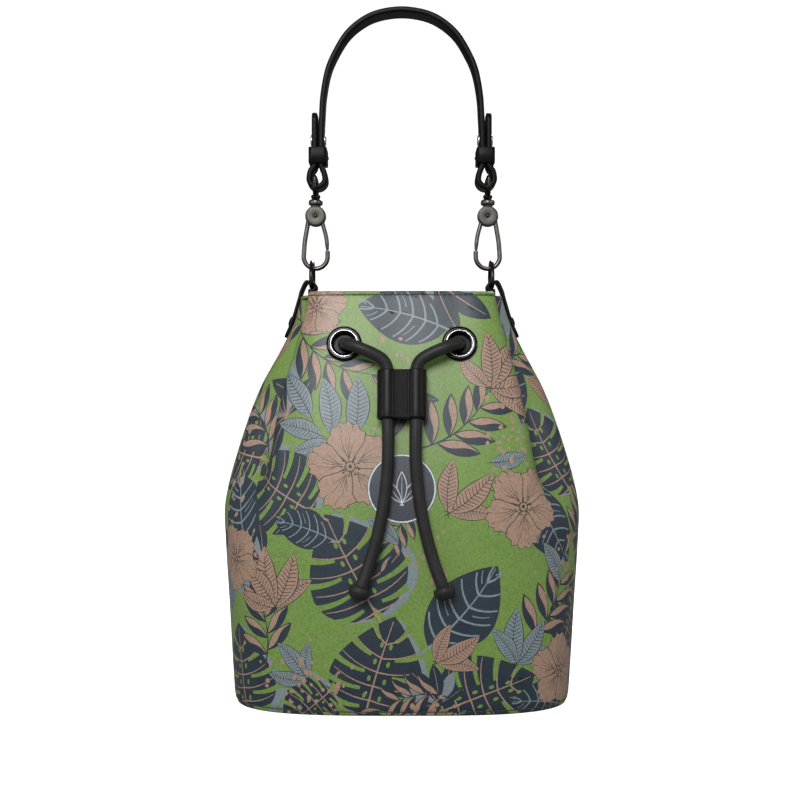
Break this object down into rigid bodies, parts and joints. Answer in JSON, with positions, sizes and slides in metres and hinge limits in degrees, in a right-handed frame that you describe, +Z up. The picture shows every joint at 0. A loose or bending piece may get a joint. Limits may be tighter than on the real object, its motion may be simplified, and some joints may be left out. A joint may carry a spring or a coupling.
{
  "type": "bucket bag",
  "caption": "Drawstring bucket handbag of printed leather with an oval base, a looped strap handle on swivel snap hooks, and a cord with a slider and end knobs.",
  "frame": {"origin": "middle of the base, on the surface the bag stands on", "axes": "+Z up along the bag's height, +X to the bag's left seam as seen from its back (right in a front view), -Y is the front with the knobs"},
  "size_m": [0.2442, 0.1827, 0.4767],
  "materials": {
    "printed_leather": "grained, printed with a leaf and flower pattern, satin",
    "bag_trim_leather": "smooth, satin",
    "base_board": "pressed fibre board, matt",
    "lining_fabric": "fine weave, matt",
    "cord_leather": "smooth round cord, satin",
    "slider_leather": "smooth, satin",
    "strap_leather": "fine grain, satin",
    "eyelet_black_metal": "black nickel look, glossy",
    "rivet_black_metal": "black, satin",
    "gunmetal": "gunmetal, satin"
  },
  "bodies": {
    "bag": {"back_panel": "printed_leather", "base_board": "base_board", "base_panel": "bag_trim_leather", "cord_knob_left": "cord_leather", "cord_knob_right": "cord_leather", "cord_tail_left": "cord_leather", "cord_tail_right": "cord_leather", "drawstring_inner": "cord_leather", "eyelet_back_left": "eyelet_black_metal", "eyelet_back_right": "eyelet_black_metal", "eyelet_front_left": "eyelet_black_metal", "eyelet_front_right": "eyelet_black_metal", "eyelet_washer_back_left": "eyelet_black_metal", "eyelet_washer_back_right": "eyelet_black_metal", "eyelet_washer_front_left": "eyelet_black_metal", "eyelet_washer_front_right": "eyelet_black_metal", "front_panel": "printed_leather", "lining": "lining_fabric", "mouth_facing": "bag_trim_leather", "side_tab_left": "bag_trim_leather", "side_tab_right": "bag_trim_leather", "tab_rivet_cap_left": "rivet_black_metal", "tab_rivet_cap_right": "rivet_black_metal", "tab_rivet_post_left": "rivet_black_metal", "tab_rivet_post_right": "rivet_black_metal"},
    "slider": {"cord_slider": "slider_leather"},
    "handle": {"handle_strap": "strap_leather", "keeper_left": "strap_leather", "keeper_right": "strap_leather", "strap_post_left": "gunmetal", "strap_post_right": "gunmetal", "strap_screw_left": "gunmetal", "strap_screw_right": "gunmetal", "swivel_eye_left": "gunmetal", "swivel_eye_right": "gunmetal"},
    "ring_left": {"d_ring_left": "gunmetal"},
    "hook_left": {"hook_frame_left": "gunmetal", "gate_pin_left": "gunmetal", "gate_spring_left": "gunmetal"},
    "gate_left": {"hook_gate_left": "gunmetal"},
    "ring_right": {"d_ring_right": "gunmetal"},
    "hook_right": {"hook_frame_right": "gunmetal", "gate_pin_right": "gunmetal", "gate_spring_right": "gunmetal"},
    "gate_right": {"hook_gate_right": "gunmetal"}
  },
  "joints": [
    {"name": "handle_swing", "type": "hinge", "parent": "bag", "child": "handle", "pos_m": [0, 0, 0.2954], "axis": [1, 0, 0], "range_deg": [-98, 98]},
    {"name": "slider_slide", "type": "slide", "parent": "bag", "child": "slider", "axis": [0, -0.1803, -0.9836], "range_m": [0, 0.008]},
    {"name": "ring_hinge_left", "type": "hinge", "parent": "bag", "child": "ring_left", "pos_m": [-0.0626, 0, 0.2822], "axis": [0, 1, 0], "range_deg": [-2.5, 3]},
    {"name": "hook_swivel_left", "type": "hinge", "parent": "handle", "child": "hook_left", "pos_m": [-0.0602, 0, 0.332], "axis": [0, 0, 1], "range_deg": [-15, 15]},
    {"name": "gate_hinge_left", "type": "hinge", "parent": "hook_left", "child": "gate_left", "pos_m": [-0.0602, 0, 0.332], "axis": [0, 1, 0], "range_deg": [0, 18], "stiffness_Nm_per_rad": 0.02, "springref_deg": -8.59},
    {"name": "ring_hinge_right", "type": "hinge", "parent": "bag", "child": "ring_right", "pos_m": [0.0626, 0, 0.2822], "axis": [0, 1, 0], "range_deg": [-3, 2.5]},
    {"name": "hook_swivel_right", "type": "hinge", "parent": "handle", "child": "hook_right", "pos_m": [0.0602, 0, 0.332], "axis": [0, 0, 1], "range_deg": [-15, 15]},
    {"name": "gate_hinge_right", "type": "hinge", "parent": "hook_right", "child": "gate_right", "pos_m": [0.0602, 0, 0.332], "axis": [0, -1, 0], "range_deg": [0, 18], "stiffness_Nm_per_rad": 0.02, "springref_deg": -8.59}
  ]
}
